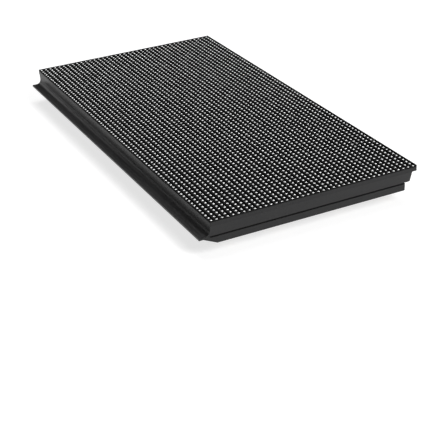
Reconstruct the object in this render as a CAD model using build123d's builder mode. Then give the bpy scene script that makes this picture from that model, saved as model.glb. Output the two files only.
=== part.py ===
import os
from build123d import *

# Outdoor lamp module, 80 by 40 lamps. Millimetres.
# Z is up through the lamp face, Y runs along the long side.
# The origin is the centre of the rear mounting plane, where the brass inserts end.

# Lamp field and face
lamp_pitch = 4.0
lamps_long = 80
lamps_short = 40
face_length = lamps_long * lamp_pitch
face_width = lamps_short * lamp_pitch
half_length = face_length / 2
half_width = face_width / 2

# Layers, counted up from the mounting plane to the louvre tips
rib_depth = 8.0
floor_thickness = 1.8
component_space = 4.1
board_thickness = 1.6
potting_thickness = 0.7
web_thickness = 0.8
louvre_height = 1.0
floor_rear = rib_depth
floor_front = floor_rear + floor_thickness
board_rear = floor_front + component_space
board_front = board_rear + board_thickness
web_rear = board_front + potting_thickness
web_front = web_rear + web_thickness

# Front mask: the slots run between the louvres, and the outermost louvres are halves
louvre_base = 1.4
louvre_side_angle = 78.0
mask_corner_radius = 0.6
skirt_wall = louvre_base / 2
skirt_rear = board_rear
skirt_inner_length = face_length - 2 * skirt_wall
skirt_inner_width = face_width - 2 * skirt_wall

# Board inside the skirt
board_clearance = 0.1
board_length = skirt_inner_length - 2 * board_clearance
board_width = skirt_inner_width - 2 * board_clearance

# Lamps, each row of them taken together as one bar
lamp_length = 2.1
lamp_width = 2.1
lamp_height = 1.6
lamp_row_length = (lamps_long - 1) * lamp_pitch + lamp_length

# Rear shell, side walls: the ends and the rebate side lean in towards the rear
shell_wall = 2.0
shell_end_inset = 0.3
shell_end_draft = 1.5
lip_side_inset = 0.3
lap_side_inset = 2.7
lap_side_draft = 0.8
shell_corner_radius = 1.6
shell_half_length = half_length - shell_end_inset
rim_half_length = shell_half_length - shell_end_draft

# Overlapping lip along one long side, and the rebate for the next module's lip on the other
lip_level = 6.0
lip_thickness = 1.3
lip_reach = 7.3
lap_clearance = 0.2
flare_radius = 4.0
rim_inset = 5.8
groove_depth = 1.3
groove_height = 1.2
rebate_depth = lip_reach + lap_clearance
lip_tip_x = -(half_width + lip_reach)
waist_x = -(half_width - lip_side_inset)
lip_rim_x = -(half_width - rim_inset)
lap_top_x = half_width - lap_side_inset
lap_wall_x = lap_top_x - lap_side_draft
lap_rim_x = half_width - rebate_depth
channel_wall = 0.4
channel_rise = 1.9
channel_lean = 0.7
channel_start_x = waist_x - flare_radius
channel_corner_x = waist_x - channel_wall
gusset_thickness = 1.0
gussets_each_way = 4

# Ribs on the rear
rib_thickness = 1.2
rib_pitch = 35.25
rim_thickness = 2.3
lip_wall_lean = 3.6
inner_rib_x = 40.5
pocket_width = 16.0
corner_box_width = 15.5
corner_box_length = 9.5
end_rib_offset = 1.5
cross_rib_steps = (-2, -4 / 3, 0, 1, 2)
short_rib_step = 3

# Brass inserts
insert_end_inset = 10.0
insert_side_inset = 17.5
insert_inner_x = 24.0
insert_radius = 3.1
insert_bore_radius = 1.65
insert_length = 7.0
insert_flange_radius = 3.8
insert_flange_thickness = 0.7
insert_chamfer = 0.4
insert_end_gap = 0.4
insert_boss_radius = 5.0
insert_y = half_length - insert_end_inset
insert_x = half_width - insert_side_inset
insert_spots = [
    (x, y) for y in (-insert_y, insert_y) for x in (-insert_x, -insert_inner_x, insert_inner_x, insert_x)
]
insert_spots += [(-insert_x, 0), (insert_x, 0)]

# Guide pins, moulded with the shell
pin_radius = 1.5
pin_height = 7.0
pin_foot_radius = 2.6
pin_tip_chamfer = 0.6
pin_side_inset = 12.5
pin_x = half_width - pin_side_inset
pin_y = 2 * rib_pitch
pin_spots = [(x, y) for x in (-pin_x, pin_x) for y in (-pin_y, pin_y)]

# Mask screws, driven from the rear into posts that stand between the lamps
post_radius = 1.3
post_hole_clearance = 0.2
screw_core_radius = 0.85
screw_head_radius = 1.9
screw_head_height = 1.3
screw_tip_gap = 0.6
screw_tip_clearance = 0.2
screw_seat_depth = 0.8
screw_hole_clearance = 0.2
screw_boss_radius = 2.7
side_post_x = (lamps_short // 2 - 3) * lamp_pitch
side_post_y = (lamps_long // 2 - 9) * lamp_pitch
waist_post_y = 6 * lamp_pitch
end_post_x = 6 * lamp_pitch
end_post_y = (lamps_long // 2 - 5) * lamp_pitch
inner_post_x = 5 * lamp_pitch
inner_post_y = 11 * lamp_pitch
post_spots = [
    (side * x, end * y)
    for x, y in (
        (side_post_x, side_post_y),
        (side_post_x, waist_post_y),
        (end_post_x, end_post_y),
        (inner_post_x, inner_post_y),
    )
    for side in (-1, 1)
    for end in (-1, 1)
]
screw_seat = floor_rear + screw_seat_depth
post_bore_end = web_front - screw_tip_gap

# Raised rear cover and the low coaming that it stands on
cover_height = 8.5
coaming_height = 3.0
coaming_wall = 2.4
cover_wall = 2.0
cover_top_thickness = 2.0
cover_end_inset = 30.0
cover_lip_side_x = -34.0
cover_lap_side_x = 29.0
cover_corner_radius = 11.0
cover_edge_radius = 0.8
cover_rib_height = 3.0
ear_reach = 5.0
ear_root_width = 58.0
ear_tip_width = 18.0
ear_end_inset = 67.0
ear_radius = 12.0
cover_end_y = half_length - cover_end_inset
cover_width = cover_lap_side_x - cover_lip_side_x
cover_centre_x = (cover_lap_side_x + cover_lip_side_x) / 2
ear_y = half_length - ear_end_inset
seam_level = floor_rear - coaming_height
cover_rear = -cover_height

# Cable slot, half in the cover and half in the coaming
slot_length = 26.0
slot_height = 5.2
slot_rise = 0.2
slot_level = seam_level + slot_rise
cut_margin = 1.0
pick_margin = 0.01

# Gasket in the top of the coaming
gasket_width = 1.0
gasket_depth = 0.8
gasket_inset = (coaming_wall - gasket_width) / 2

# Snap hooks on the cover, through slots in the shell floor
hook_width = 8.0
hook_thickness = 1.8
hook_clearance = 0.3
hook_barb = 0.8
hook_barb_height = 1.2
hook_float = 0.1
lip_hook_y = 60.0
hook_inset = cover_wall + coaming_wall
hook_spots = [(cover_lap_side_x + ear_reach - hook_inset, y, 1) for y in (-ear_y, ear_y)]
hook_spots += [(cover_lip_side_x + hook_inset, y, -1) for y in (-lip_hook_y, lip_hook_y)]

# Data headers in their collars
header_x = -43.0
header_end_inset = 62.0
header_y = half_length - header_end_inset
header_width = 8.9
header_length = 28.0
header_cavity_width = 6.4
header_cavity_length = 25.2
header_cavity_depth = 8.9
header_top = -3.5
header_key_width = 4.5
header_key_depth = 6.0
header_pitch = 2.54
header_columns = 8
header_pin_size = 0.64
header_pin_height = 6.0
collar_top = -5.5
collar_clearance = 0.2
collar_side_wall = 1.6
collar_end_wall = 2.4
collar_corner_radius = 1.0
key_post_radius = 1.9
key_post_gap = 3.0

# Power socket inside the cover
socket_y = 90.0
socket_pitch = 3.96
socket_ways = 4
socket_width = 8.4
socket_height = 11.6
socket_base = 3.2
socket_wall = 1.0
socket_clearance = 1.0
socket_pin_size = 1.1
socket_pin_height = 8.4
socket_length = socket_pitch * socket_ways

# Chips and small parts on the rear of the board
driver_length = 8.65
driver_width = 3.9
driver_height = 1.5
driver_columns = (-56.0, -32.0, -10.0, 10.0, 32.0, 56.0)
driver_rows = 10
driver_end_inset = 25.0
driver_row_pitch = 2 * (half_length - driver_end_inset) / (driver_rows - 1)
driver_spots = [
    (x, (row - (driver_rows - 1) / 2) * driver_row_pitch)
    for x in driver_columns
    for row in range(driver_rows)
]
switch_length = 4.9
switch_width = 3.9
switch_height = 1.5
switch_x = 21.0
switch_spots = [(-switch_x, row * driver_row_pitch) for row in (-4, -3, -2, -1, 1, 2, 3, 4)]
switch_spots += [(switch_x, row * driver_row_pitch) for row in (-1, 1)]
buffer_length = 6.5
buffer_width = 4.4
buffer_height = 1.2
buffer_gap = 8.0
bulk_length = 7.3
bulk_width = 4.3
bulk_height = 2.8
bulk_x = 44.0
bulk_spots = [(bulk_x, row * driver_row_pitch) for row in (-3, -2, -1, 1, 2, 3)]
chip_cap_length = 2.0
chip_cap_width = 1.25
chip_cap_height = 0.8
resistor_length = 1.6
resistor_width = 0.8
resistor_height = 0.5
small_part_gap = 1.6

os.makedirs("parts", exist_ok=True)


def cover_outline(inset=0.0):
    """Draw the cover's plan into the current sketch: a rectangle with two low ears, less an inset."""
    with BuildSketch(mode=Mode.PRIVATE) as plan:
        with Locations((cover_centre_x, 0)):
            Rectangle(cover_width, 2 * cover_end_y)
        fillet(plan.vertices().group_by(Axis.X)[0], cover_corner_radius)
        for centre in (-ear_y, ear_y):
            with BuildLine():
                Polyline(
                    (cover_lap_side_x, centre - ear_root_width / 2),
                    (cover_lap_side_x + ear_reach, centre - ear_tip_width / 2),
                    (cover_lap_side_x + ear_reach, centre + ear_tip_width / 2),
                    (cover_lap_side_x, centre + ear_root_width / 2),
                    close=True,
                )
            make_face()
        ear_corners = plan.vertices().filter_by_position(
            Axis.X, cover_lap_side_x - pick_margin, cover_lap_side_x + ear_reach + pick_margin
        )
        fillet(ear_corners.filter_by_position(Axis.Y, 1 - cover_end_y, cover_end_y - 1), ear_radius)
        if inset:
            offset(amount=-inset, kind=Kind.INTERSECTION)
    add(plan.sketch)


# Plan of the lamp rows, notched where the mask's posts pass between the lamps
with BuildSketch() as lamp_row_plan:
    with GridLocations(lamp_pitch, lamp_pitch, lamps_short, 1):
        Rectangle(lamp_width, lamp_row_length)
    with Locations(*post_spots):
        Circle(post_radius + post_hole_clearance, mode=Mode.SUBTRACT)

# Front mask: one moulded grille with a skirt round it and a louvre between each two rows of lamps
with BuildPart() as front_mask:
    with BuildSketch(Plane.XY.offset(skirt_rear)):
        Rectangle(face_width, face_length)
    extrude(amount=web_front - skirt_rear)
    fillet(front_mask.edges().filter_by(Axis.Z), mask_corner_radius)
    with BuildSketch(Plane.XY.offset(skirt_rear)):
        Rectangle(skirt_inner_width, skirt_inner_length)
    extrude(amount=web_rear - skirt_rear, mode=Mode.SUBTRACT)
    with BuildSketch(Plane.XZ):
        with Locations(*[(row * lamp_pitch - half_width, web_front) for row in range(lamps_short + 1)]):
            Trapezoid(louvre_base, louvre_height, louvre_side_angle, align=(Align.CENTER, Align.MIN))
        Rectangle(face_width, 2 * (web_front + louvre_height), mode=Mode.INTERSECT)
    extrude(amount=half_length - mask_corner_radius, both=True)
    # Slots that the lamps look out of, left whole over each post
    with BuildSketch(Plane.XY.offset(web_rear)):
        with GridLocations(lamp_pitch, lamp_pitch, lamps_short, 1):
            Rectangle(lamp_pitch - louvre_base, skirt_inner_length)
        with Locations(*post_spots):
            Circle(post_radius, mode=Mode.SUBTRACT)
    extrude(amount=web_thickness, mode=Mode.SUBTRACT)
    with BuildSketch(Plane.XY.offset(board_rear)):
        with Locations(*post_spots):
            Circle(post_radius)
    extrude(amount=web_rear - board_rear)
    with BuildSketch(Plane.XY.offset(board_rear)):
        with Locations(*post_spots):
            Circle(screw_core_radius)
    extrude(amount=post_bore_end - board_rear, mode=Mode.SUBTRACT)
front_mask.part.label = "front_mask"
export_step(front_mask.part, "parts/front_mask.step")

# Lamp rows, standing on the board
with BuildPart() as lamp_rows:
    with BuildSketch(Plane.XY.offset(board_front)):
        add(lamp_row_plan.sketch)
    extrude(amount=lamp_height)
lamp_rows.part.label = "lamp_rows"
export_step(lamp_rows.part, "parts/lamp_rows.step")

# Potting that seals the board round the lamps
with BuildPart() as lamp_potting:
    with BuildSketch(Plane.XY.offset(board_front)):
        Rectangle(skirt_inner_width, skirt_inner_length)
        add(lamp_row_plan.sketch, mode=Mode.SUBTRACT)
        with Locations(*post_spots):
            Circle(post_radius, mode=Mode.SUBTRACT)
    extrude(amount=potting_thickness)
lamp_potting.part.label = "lamp_potting"
export_step(lamp_potting.part, "parts/lamp_potting.step")

# Circuit board that carries the lamps on its front and the chips on its rear
with BuildPart() as lamp_board:
    with BuildSketch(Plane.XY.offset(board_rear)):
        Rectangle(board_width, board_length)
        with Locations(*post_spots):
            Circle(post_radius + post_hole_clearance, mode=Mode.SUBTRACT)
    extrude(amount=board_thickness)
lamp_board.part.label = "lamp_board"
export_step(lamp_board.part, "parts/lamp_board.step")

# The open space of the shell's rear: its cells are what the ribs, bosses and coaming leave
lap_pocket_x = lap_rim_x - rim_thickness
lip_pocket_x = lip_rim_x + rim_thickness
end_pocket_y = rim_half_length - shell_wall - groove_depth
corner_box_x = insert_x - corner_box_width
corner_box_y = insert_y - corner_box_length
lap_rib_x = insert_x - insert_boss_radius
pocket_rib_x = lap_rib_x - pocket_width
end_rib_y = insert_y - end_rib_offset

with BuildPart() as rear_cells:
    with BuildSketch(Plane.XZ):
        with BuildLine():
            Polyline(
                (lip_pocket_x, 0),
                (lip_pocket_x - lip_wall_lean, lip_level),
                (lip_pocket_x - lip_wall_lean, floor_rear),
                (lap_pocket_x, floor_rear),
                (lap_pocket_x, 0),
                close=True,
            )
        make_face()
    extrude(amount=end_pocket_y, both=True)
    with BuildSketch():
        # Long ribs through the inserts on the lip side, and beside them on the other
        with Locations((-insert_x, 0), (lap_rib_x, 0)):
            Rectangle(rib_thickness, 2 * corner_box_y)
        with Locations((-inner_rib_x, 0)):
            Rectangle(rib_thickness, 2 * pin_y)
        # Cross ribs between the lip side rim and the inner rib
        for step in cross_rib_steps:
            with Locations((-inner_rib_x, step * rib_pitch)):
                Rectangle(half_width, rib_thickness, align=(Align.MAX, Align.CENTER))
        # Short cross ribs that stop at the long rib
        for step in (-short_rib_step, short_rib_step):
            with Locations((-insert_x, step * rib_pitch)):
                Rectangle(half_width, rib_thickness, align=(Align.MAX, Align.CENTER))
        # Two walled pockets on the side away from the lip
        for side in (-1, 1):
            for step in (1, 3):
                with Locations((pocket_rib_x, side * step * rib_pitch)):
                    Rectangle(half_width, rib_thickness, align=(Align.MIN, Align.CENTER))
            with Locations((pocket_rib_x, side * 2 * rib_pitch)):
                Rectangle(rib_thickness, 2 * rib_pitch + rib_thickness)
        # Corner boxes round the four outer inserts
        for side in (-1, 1):
            with Locations((-corner_box_x, side * corner_box_y)):
                Rectangle(half_width, rib_thickness, align=(Align.MAX, Align.CENTER))
            with Locations((corner_box_x, side * corner_box_y)):
                Rectangle(half_width, rib_thickness, align=(Align.MIN, Align.CENTER))
            with Locations((-corner_box_x, side * half_length), (corner_box_x, side * half_length)):
                Rectangle(rib_thickness, 2 * (half_length - corner_box_y) + rib_thickness)
            with Locations((-insert_x, side * insert_y)):
                Rectangle(half_width, rib_thickness, align=(Align.MAX, Align.CENTER))
            with Locations((insert_x, side * insert_y)):
                Rectangle(half_width, rib_thickness, align=(Align.MIN, Align.CENTER))
            for x in (-insert_x, -insert_inner_x, insert_inner_x, insert_x):
                with Locations((x, side * half_length)):
                    Rectangle(rib_thickness, 2 * insert_end_inset)
            for end in (-1, 1):
                with Locations((end * (corner_box_x + insert_inner_x) / 2, side * end_rib_y)):
                    Rectangle(corner_box_x - insert_inner_x, rib_thickness)
        # Ribs from the two middle inserts to their rims
        with Locations((-insert_x, 0)):
            Rectangle(half_width, rib_thickness, align=(Align.MAX, Align.CENTER))
        with Locations((insert_x, 0)):
            Rectangle(half_width, rib_thickness, align=(Align.MIN, Align.CENTER))
        with Locations(*insert_spots):
            Circle(insert_boss_radius)
        with Locations(*pin_spots):
            Circle(pin_foot_radius)
    extrude(amount=floor_rear, mode=Mode.SUBTRACT)
    # The cover stands in a clear bay, on its coaming
    with BuildSketch():
        cover_outline()
    extrude(amount=floor_rear)
    with BuildSketch(Plane.XY.offset(seam_level)):
        cover_outline()
        with BuildSketch(mode=Mode.PRIVATE) as coaming_inside:
            cover_outline(coaming_wall)
        add(coaming_inside.sketch, mode=Mode.SUBTRACT)
    extrude(amount=coaming_height, mode=Mode.SUBTRACT)

# Rear shell
collar_inner_width = header_width + 2 * collar_clearance
collar_inner_length = header_length + 2 * collar_clearance
collar_width = collar_inner_width + 2 * collar_side_wall
collar_length = collar_inner_length + 2 * collar_end_wall
header_spots = [(header_x, -header_y), (header_x, header_y)]
key_post_x = header_x + collar_width / 2 - key_post_radius
key_post_spots = [(key_post_x, y + collar_length / 2 + key_post_gap) for x, y in header_spots]

with BuildPart() as rear_shell:
    # Section across the module, with the lip on one side and the rebate on the other
    with BuildSketch(Plane.XZ):
        with BuildLine():
            Polyline(
                (waist_x - flare_radius, lip_level),
                (lip_tip_x, lip_level),
                (lip_tip_x, lip_level - lip_thickness),
                (channel_start_x, lip_level - lip_thickness),
                (channel_corner_x, lip_level - lip_thickness + channel_rise),
                (channel_corner_x + channel_lean, lip_level - lip_thickness),
                (lip_rim_x, 0),
                (lap_rim_x, 0),
                (lap_rim_x, lip_level),
                (lap_wall_x, lip_level),
                (lap_top_x, board_rear),
                (waist_x, board_rear),
                (waist_x, lip_level + flare_radius),
            )
            RadiusArc(
                (waist_x, lip_level + flare_radius),
                (waist_x - flare_radius, lip_level),
                flare_radius,
            )
        make_face()
    extrude(amount=shell_half_length, both=True)
    # Section along the module, with the lean of the two end walls
    with BuildSketch(Plane.YZ):
        with BuildLine():
            Polyline(
                (-rim_half_length, 0),
                (rim_half_length, 0),
                (rim_half_length, lip_level),
                (shell_half_length, board_rear),
                (-shell_half_length, board_rear),
                (-rim_half_length, lip_level),
                close=True,
            )
        make_face()
    extrude(amount=face_width, both=True, mode=Mode.INTERSECT)
    lap_edges = rear_shell.edges().filter_by_position(
        Axis.X, lap_rim_x - pick_margin, lap_top_x + pick_margin
    )
    corner_edges = lap_edges.filter_by(Axis.X, reverse=True).filter_by(Axis.Y, reverse=True)
    fillet(corner_edges, shell_corner_radius)
    # Groove under the rebate and on along the near short side
    with BuildSketch(Plane.XY.offset(lip_level - groove_height)):
        with Locations((lap_rim_x, 0)):
            Rectangle(2 * groove_depth, 2 * half_length)
        with Locations((lap_rim_x, -rim_half_length)):
            Rectangle(lap_rim_x - waist_x, 2 * groove_depth, align=(Align.MAX, Align.CENTER))
    extrude(amount=groove_height, mode=Mode.SUBTRACT)
    add(rear_cells.part, mode=Mode.SUBTRACT)
    # Tray for the chips, with bosses that carry the board at each screw
    with BuildSketch(Plane.XY.offset(floor_front)):
        with Locations(((waist_x + lap_wall_x) / 2, 0)):
            Rectangle(lap_wall_x - waist_x - 2 * shell_wall, 2 * (rim_half_length - shell_wall))
        with Locations(*post_spots):
            Circle(screw_boss_radius, mode=Mode.SUBTRACT)
    extrude(amount=component_space, mode=Mode.SUBTRACT)
    # Gussets across the channel behind the lip
    for step in range(-gussets_each_way, gussets_each_way + 1):
        with BuildSketch(Plane.XZ.offset(-step * rib_pitch - gusset_thickness / 2)):
            with BuildLine():
                Polyline(
                    (channel_start_x, lip_level - lip_thickness),
                    (channel_corner_x, lip_level - lip_thickness + channel_rise),
                    (channel_corner_x + channel_lean, lip_level - lip_thickness),
                    close=True,
                )
            make_face()
        extrude(amount=gusset_thickness)
    # Collars round the data headers, with a small post at one end of each
    with BuildSketch(Plane.XY.offset(collar_top)):
        with Locations(*header_spots):
            RectangleRounded(collar_width, collar_length, collar_corner_radius)
        with Locations(*key_post_spots):
            Circle(key_post_radius)
    extrude(amount=floor_rear - collar_top)
    with BuildSketch(Plane.XY.offset(collar_top)):
        with Locations(*header_spots):
            Rectangle(collar_inner_width, collar_inner_length)
    extrude(amount=floor_front - collar_top, mode=Mode.SUBTRACT)
    # Guide pins
    with BuildSketch():
        with Locations(*pin_spots):
            Circle(pin_radius)
    extrude(amount=-pin_height)
    chamfer(rear_shell.faces().group_by(Axis.Z)[0].edges(), pin_tip_chamfer)
    # Seats for the inserts and the mask screws
    with Locations(*[Location((x, y, 0), (180, 0, 0)) for x, y in insert_spots]):
        CounterBoreHole(
            insert_radius,
            insert_flange_radius,
            insert_flange_thickness,
            insert_length + insert_end_gap,
        )
    with Locations(*[Location((x, y, floor_rear), (180, 0, 0)) for x, y in post_spots]):
        CounterBoreHole(
            screw_core_radius + screw_hole_clearance,
            screw_head_radius + screw_hole_clearance,
            screw_seat_depth,
            board_rear - floor_rear,
        )
    # Openings in the floor for the power socket and the cover's hooks
    with BuildSketch(Plane.XY.offset(floor_rear)):
        with Locations((0, socket_y)):
            Rectangle(socket_length + 2 * socket_clearance, socket_width + 2 * socket_clearance)
        for x, y, side in hook_spots:
            with Locations((x - side * (hook_thickness + hook_barb) / 2, y)):
                Rectangle(
                    hook_thickness + hook_barb + 2 * hook_clearance,
                    hook_width + 2 * hook_clearance,
                )
    extrude(amount=floor_thickness, mode=Mode.SUBTRACT)
    # Groove for the gasket, and the lower half of the cable slot
    with BuildSketch(Plane.XY.offset(seam_level)):
        with BuildSketch(mode=Mode.PRIVATE) as groove_outside:
            cover_outline(gasket_inset)
        with BuildSketch(mode=Mode.PRIVATE) as groove_inside:
            cover_outline(gasket_inset + gasket_width)
        add(groove_outside.sketch)
        add(groove_inside.sketch, mode=Mode.SUBTRACT)
    extrude(amount=gasket_depth, mode=Mode.SUBTRACT)
    with BuildSketch(Plane.XZ.offset(-cover_end_y - cut_margin)):
        with Locations((0, slot_level)):
            SlotOverall(slot_length, slot_height)
    extrude(amount=coaming_wall + 2 * cut_margin, mode=Mode.SUBTRACT)
rear_shell.part.label = "rear_shell"
export_step(rear_shell.part, "parts/rear_shell.step")

# Rear cover: a deep cap that hooks into the shell floor
with BuildPart() as rear_cover:
    with BuildSketch(Plane.XY.offset(cover_rear)):
        cover_outline()
    extrude(amount=seam_level - cover_rear)
    fillet(rear_cover.faces().sort_by(Axis.Z)[0].edges(), cover_edge_radius)
    with BuildSketch(Plane.XY.offset(cover_rear + cover_top_thickness)):
        cover_outline(cover_wall)
    extrude(amount=seam_level - cover_rear - cover_top_thickness, mode=Mode.SUBTRACT)
    # Stiffening ribs inside the top
    with BuildSketch(Plane.XY.offset(cover_rear + cover_top_thickness)):
        with Locations(*[(cover_centre_x, step * rib_pitch) for step in (-3, -1, 1, 3)]):
            Rectangle(cover_width - 2 * cover_wall, rib_thickness)
    extrude(amount=cover_rib_height)
    # Hooks: a tongue down each side with a barb under the shell floor
    for x, y, side in hook_spots:
        with BuildSketch(Plane.XZ.offset(-y - hook_width / 2)):
            with BuildLine():
                Polyline(
                    (x + side * (coaming_wall + hook_clearance), cover_rear + cover_top_thickness),
                    (x + side * (coaming_wall + hook_clearance), seam_level - coaming_height),
                    (x, seam_level - coaming_height + coaming_wall),
                    (x, floor_front + hook_float),
                    (x + side * hook_barb, floor_front + hook_float),
                    (x, floor_front + hook_float + hook_barb_height),
                    (x - side * hook_thickness, floor_front + hook_float + hook_barb_height),
                    (x - side * hook_thickness, cover_rear + cover_top_thickness),
                    close=True,
                )
            make_face()
        extrude(amount=hook_width)
    # Upper half of the cable slot
    with BuildSketch(Plane.XZ.offset(-cover_end_y - cut_margin)):
        with Locations((0, slot_level)):
            SlotOverall(slot_length, slot_height)
    extrude(amount=cover_wall + 2 * cut_margin, mode=Mode.SUBTRACT)
rear_cover.part.label = "rear_cover"
export_step(rear_cover.part, "parts/rear_cover.step")

# Cover gasket: a cord in the coaming's groove, open where the cable slot passes
with BuildPart() as cover_gasket:
    with BuildSketch(Plane.XY.offset(seam_level)):
        with BuildSketch(mode=Mode.PRIVATE) as cord_outside:
            cover_outline(gasket_inset)
        with BuildSketch(mode=Mode.PRIVATE) as cord_inside:
            cover_outline(gasket_inset + gasket_width)
        add(cord_outside.sketch)
        add(cord_inside.sketch, mode=Mode.SUBTRACT)
        with Locations((0, cover_end_y)):
            Rectangle(slot_length, 2 * coaming_wall, mode=Mode.SUBTRACT)
    extrude(amount=gasket_depth)
cover_gasket.part.label = "cover_gasket"
export_step(cover_gasket.part, "parts/cover_gasket.step")

# Brass inserts, flush with the mounting plane
with BuildPart() as one_insert:
    with BuildSketch(Plane.XZ):
        with BuildLine():
            Polyline(
                (insert_bore_radius + insert_chamfer, 0),
                (insert_flange_radius, 0),
                (insert_flange_radius, insert_flange_thickness),
                (insert_radius, insert_flange_thickness),
                (insert_radius, insert_length),
                (insert_bore_radius, insert_length),
                (insert_bore_radius, insert_chamfer),
                close=True,
            )
        make_face()
    revolve(axis=Axis.Z)

with BuildPart() as mount_inserts:
    with Locations(*insert_spots):
        add(one_insert.part)
mount_inserts.part.label = "mount_inserts"
export_step(mount_inserts.part, "parts/mount_inserts.step")

# Mask screws, from the shell floor up into the mask's posts
with BuildPart() as one_screw:
    with BuildSketch(Plane.XZ):
        with BuildLine():
            Polyline(
                (0, screw_seat - screw_head_height),
                (screw_head_radius - screw_head_height / 2, screw_seat - screw_head_height),
                (screw_head_radius, screw_seat - screw_head_height / 2),
                (screw_head_radius, screw_seat),
                (screw_core_radius, screw_seat),
                (screw_core_radius, post_bore_end - screw_tip_clearance),
                (0, post_bore_end - screw_tip_clearance),
                close=True,
            )
        make_face()
    revolve(axis=Axis.Z)

with BuildPart() as mask_screws:
    with Locations(*post_spots):
        add(one_screw.part)
mask_screws.part.label = "mask_screws"
export_step(mask_screws.part, "parts/mask_screws.step")

# Data headers: tall boxes with a keyed cavity, and their two rows of pins
header_floor = header_top + header_cavity_depth
pin_tip = header_floor - header_pin_height
for name, spot in zip(("data_in", "data_out"), header_spots):
    with BuildPart() as data_header:
        with BuildSketch(Plane.XY.offset(header_top)):
            with Locations(spot):
                Rectangle(header_width, header_length)
        extrude(amount=board_rear - header_top)
        with BuildSketch(Plane.XY.offset(header_top)):
            with Locations(spot):
                Rectangle(header_cavity_width, header_cavity_length)
        extrude(amount=header_cavity_depth, mode=Mode.SUBTRACT)
        with BuildSketch(Plane.XY.offset(header_top)):
            with Locations(spot):
                Rectangle(header_width / 2, header_key_width, align=(Align.MAX, Align.CENTER))
        extrude(amount=header_key_depth, mode=Mode.SUBTRACT)
        with BuildSketch(Plane.XY.offset(header_floor)):
            with Locations(spot):
                with GridLocations(header_pitch, header_pitch, 2, header_columns):
                    Rectangle(header_pin_size, header_pin_size)
        extrude(amount=board_rear - header_floor, mode=Mode.SUBTRACT)
    data_header.part.label = name + "_header"
    export_step(data_header.part, "parts/" + name + "_header.step")

    with BuildPart() as data_pins:
        with BuildSketch(Plane.XY.offset(pin_tip)):
            with Locations(spot):
                with GridLocations(header_pitch, header_pitch, 2, header_columns):
                    Rectangle(header_pin_size, header_pin_size)
        extrude(amount=board_rear - pin_tip)
    data_pins.part.label = name + "_pins"
    export_step(data_pins.part, "parts/" + name + "_pins.step")

# Power socket under the cover: a base with a back wall and end cheeks, and four pins
with BuildPart() as power_socket:
    with BuildSketch(Plane.XY.offset(board_rear - socket_base)):
        with Locations((0, socket_y)):
            Rectangle(socket_length, socket_width)
    extrude(amount=socket_base)
    with BuildSketch(Plane.XY.offset(board_rear - socket_height)):
        with Locations((0, socket_y - socket_width / 2)):
            Rectangle(socket_length, socket_wall, align=(Align.CENTER, Align.MIN))
        with Locations((-socket_length / 2, socket_y)):
            Rectangle(socket_wall, socket_width, align=(Align.MIN, Align.CENTER))
        with Locations((socket_length / 2, socket_y)):
            Rectangle(socket_wall, socket_width, align=(Align.MAX, Align.CENTER))
    extrude(amount=socket_height - socket_base)
    with BuildSketch(Plane.XY.offset(board_rear - socket_base)):
        with Locations((0, socket_y)):
            with GridLocations(socket_pitch, socket_pitch, socket_ways, 1):
                Rectangle(socket_pin_size, socket_pin_size)
    extrude(amount=socket_base, mode=Mode.SUBTRACT)
power_socket.part.label = "power_socket"
export_step(power_socket.part, "parts/power_socket.step")

with BuildPart() as power_pins:
    with BuildSketch(Plane.XY.offset(board_rear - socket_base - socket_pin_height)):
        with Locations((0, socket_y)):
            with GridLocations(socket_pitch, socket_pitch, socket_ways, 1):
                Rectangle(socket_pin_size, socket_pin_size)
    extrude(amount=socket_base + socket_pin_height)
power_pins.part.label = "power_pins"
export_step(power_pins.part, "parts/power_pins.step")

# Column driver chips
with BuildPart() as column_driver_chips:
    with BuildSketch(Plane.XY.offset(board_rear)):
        with Locations(*driver_spots):
            Rectangle(driver_width, driver_length)
    extrude(amount=-driver_height)
column_driver_chips.part.label = "column_driver_chips"
export_step(column_driver_chips.part, "parts/column_driver_chips.step")

# Row switch chips
with BuildPart() as row_switch_chips:
    with BuildSketch(Plane.XY.offset(board_rear)):
        with Locations(*switch_spots):
            Rectangle(switch_width, switch_length)
    extrude(amount=-switch_height)
row_switch_chips.part.label = "row_switch_chips"
export_step(row_switch_chips.part, "parts/row_switch_chips.step")

# Signal buffer chips, one at each end of each data header
buffer_reach = header_length / 2 + buffer_gap
with BuildPart() as signal_buffer_chips:
    with BuildSketch(Plane.XY.offset(board_rear)):
        with Locations(*[(x, y + end * buffer_reach) for x, y in header_spots for end in (-1, 1)]):
            Rectangle(buffer_width, buffer_length)
    extrude(amount=-buffer_height)
signal_buffer_chips.part.label = "signal_buffer_chips"
export_step(signal_buffer_chips.part, "parts/signal_buffer_chips.step")

# Smoothing capacitors
with BuildPart() as smoothing_capacitors:
    with BuildSketch(Plane.XY.offset(board_rear)):
        with Locations(*bulk_spots):
            Rectangle(bulk_width, bulk_length)
    extrude(amount=-bulk_height)
smoothing_capacitors.part.label = "smoothing_capacitors"
export_step(smoothing_capacitors.part, "parts/smoothing_capacitors.step")

# Decoupling capacitors and current setting resistors, one of each beside every driver
small_part_reach = driver_length / 2 + small_part_gap
with BuildPart() as decoupling_capacitors:
    with BuildSketch(Plane.XY.offset(board_rear)):
        with Locations(*[(x, y + small_part_reach) for x, y in driver_spots]):
            Rectangle(chip_cap_length, chip_cap_width)
    extrude(amount=-chip_cap_height)
decoupling_capacitors.part.label = "decoupling_capacitors"
export_step(decoupling_capacitors.part, "parts/decoupling_capacitors.step")

with BuildPart() as current_set_resistors:
    with BuildSketch(Plane.XY.offset(board_rear)):
        with Locations(*[(x, y - small_part_reach) for x, y in driver_spots]):
            Rectangle(resistor_length, resistor_width)
    extrude(amount=-resistor_height)
current_set_resistors.part.label = "current_set_resistors"
export_step(current_set_resistors.part, "parts/current_set_resistors.step")
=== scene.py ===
import math

import bpy
import numpy as np
from mathutils import Matrix, Vector


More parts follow.
